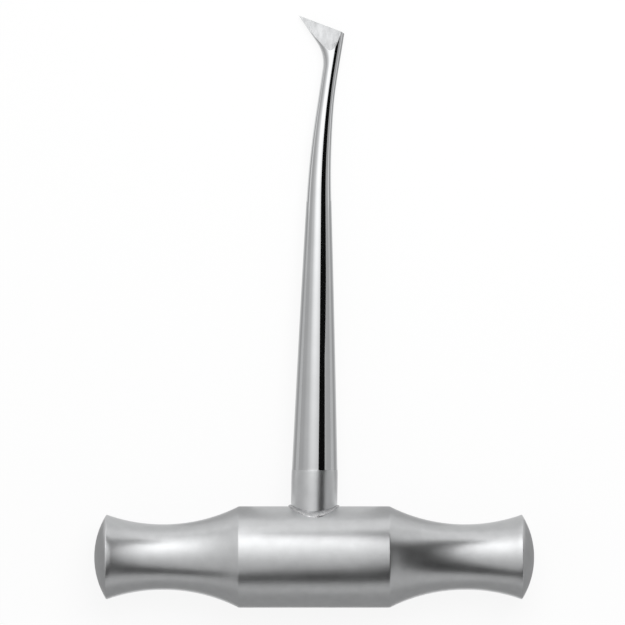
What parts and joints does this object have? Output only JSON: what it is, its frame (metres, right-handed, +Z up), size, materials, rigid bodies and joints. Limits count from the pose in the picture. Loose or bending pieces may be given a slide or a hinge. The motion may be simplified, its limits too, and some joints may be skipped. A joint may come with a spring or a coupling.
{
  "type": "dental elevator",
  "caption": "Dental elevator with a turned crossbar handle, a tapered, bent shank and a pennant-shaped blade, for levering roots out of the jaw.",
  "frame": {"origin": "middle of the tool's footprint, on the surface that it lies on", "axes": "+Y from the handle to the blade, +X along the handle to the side away from the blade's tip, +Z up, out of the blade's flat face"},
  "size_m": [0.0928, 0.1246, 0.0214],
  "materials": {
    "satin_steel": "turned and bead-blasted to an even satin",
    "polished_steel": "mirror polished, with a finely ground flat face on the blade and a satin band at the root",
    "weld_steel": "weld metal, smoothed but left uneven"
  },
  "bodies": {
    "root": {"crossbar_handle": "satin_steel", "shank_and_blade": "polished_steel", "weld_bead": "weld_steel"}
  },
  "joints": []
}
